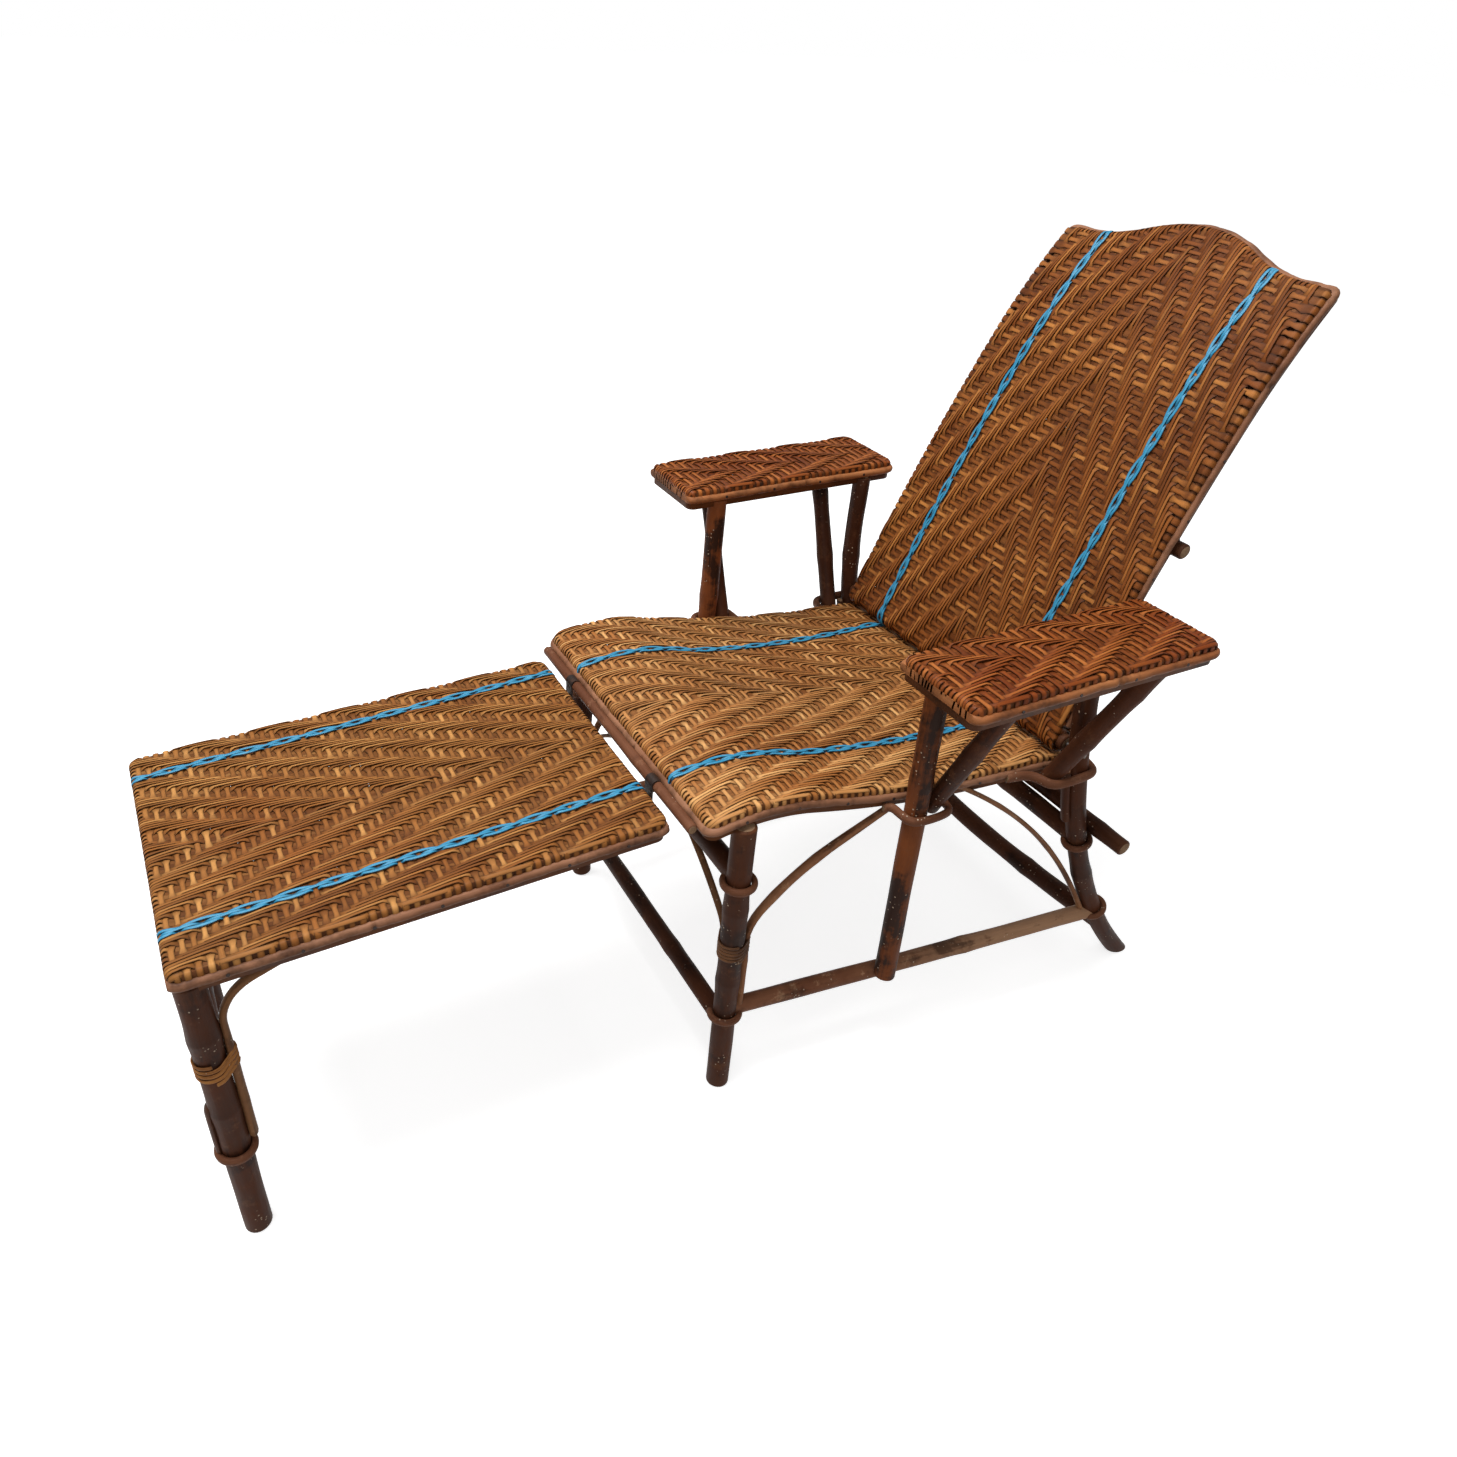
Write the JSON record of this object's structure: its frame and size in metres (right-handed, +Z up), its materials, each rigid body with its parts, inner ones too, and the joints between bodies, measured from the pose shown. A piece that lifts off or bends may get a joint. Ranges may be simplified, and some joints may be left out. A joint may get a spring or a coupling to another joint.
{
  "type": "rattan deck chair",
  "caption": "Long cane chair with woven seat, reclining back on a hinged prop, flat arms and a hooked-on footrest with its own legs.",
  "frame": {"origin": "on the floor, under the middle of the box round the chair", "axes": "+X to the right side of the chair, +Y to the head end, +Z up"},
  "size_m": [0.78, 1.4677, 1.0451],
  "materials": {
    "woven_cane": "woven split cane, honey brown, worn",
    "split_cane": "split cane, satin",
    "rattan_pole": "rattan pole with bark, dark reddish brown",
    "tack_iron": "dark tack head",
    "dark_iron": "flat iron strap, dark",
    "pin_steel": "plain steel pin"
  },
  "bodies": {
    "base": {"arm_frames": "rattan_pole", "arm_front_brace_left": "rattan_pole", "arm_front_brace_right": "rattan_pole", "arm_panel_left": "woven_cane", "arm_panel_right": "woven_cane", "arm_post_left": "rattan_pole", "arm_post_right": "rattan_pole", "arm_rear_brace_left": "rattan_pole", "arm_rear_brace_right": "rattan_pole", "arm_rim_left": "split_cane", "arm_rim_right": "split_cane", "back_pivot_pins": "pin_steel", "front_cross_rail": "rattan_pole", "front_face_arches": "split_cane", "front_leg_left": "rattan_pole", "front_leg_right": "rattan_pole", "front_side_arches": "split_cane", "front_stretcher": "rattan_pole", "hook_bar": "split_cane", "leg_lashings": "split_cane", "post_loops": "split_cane", "rear_cross_rail": "rattan_pole", "rear_leg_left": "rattan_pole", "rear_leg_right": "rattan_pole", "rear_leg_splints": "split_cane", "rear_loops": "split_cane", "rear_side_arches": "split_cane", "rear_stretcher": "rattan_pole", "rim_tacks": "tack_iron", "seat_cross_bars": "rattan_pole", "seat_front_rail": "rattan_pole", "seat_panel": "woven_cane", "seat_rear_rail": "rattan_pole", "seat_rim": "split_cane", "seat_side_rails": "rattan_pole", "side_stretcher_left": "rattan_pole", "side_stretcher_right": "rattan_pole"},
    "back": {"back_panel": "woven_cane", "back_pivot_pole": "rattan_pole", "back_rim": "split_cane", "back_side_rail_left": "rattan_pole", "back_side_rail_right": "rattan_pole", "back_tacks": "tack_iron", "back_top_rail": "rattan_pole", "prop_straps": "dark_iron"},
    "prop": {"prop_lower_rod": "rattan_pole", "prop_struts": "rattan_pole", "prop_upper_rod": "rattan_pole"},
    "footrest": {"footrest_braces": "split_cane", "footrest_cross_bars": "rattan_pole", "footrest_hooks": "dark_iron", "footrest_lashings": "split_cane", "footrest_leg_left": "rattan_pole", "footrest_leg_right": "rattan_pole", "footrest_leg_splints": "split_cane", "footrest_panel": "woven_cane", "footrest_rim": "split_cane", "footrest_side_rails": "rattan_pole", "footrest_stretcher": "rattan_pole", "footrest_tacks": "tack_iron"}
  },
  "joints": [
    {"name": "back_recline", "type": "hinge", "parent": "base", "child": "back", "pos_m": [0, 0.421, 0.444], "axis": [-1, 0, 0], "range_deg": [0, 46]},
    {"name": "prop_swing", "type": "hinge", "parent": "back", "child": "prop", "pos_m": [0, 0.54688, 0.70332], "axis": [1, 0, 0], "range_deg": [0, 34.68]},
    {"name": "footrest_lift", "type": "hinge", "parent": "base", "child": "footrest", "pos_m": [0, -0.1525, 0.468], "axis": [-1, 0, 0], "range_deg": [0, 80]}
  ],
  "couplings": [
    {"joint": "prop_swing", "follows": "back_recline", "ratio": 0.7496}
  ]
}
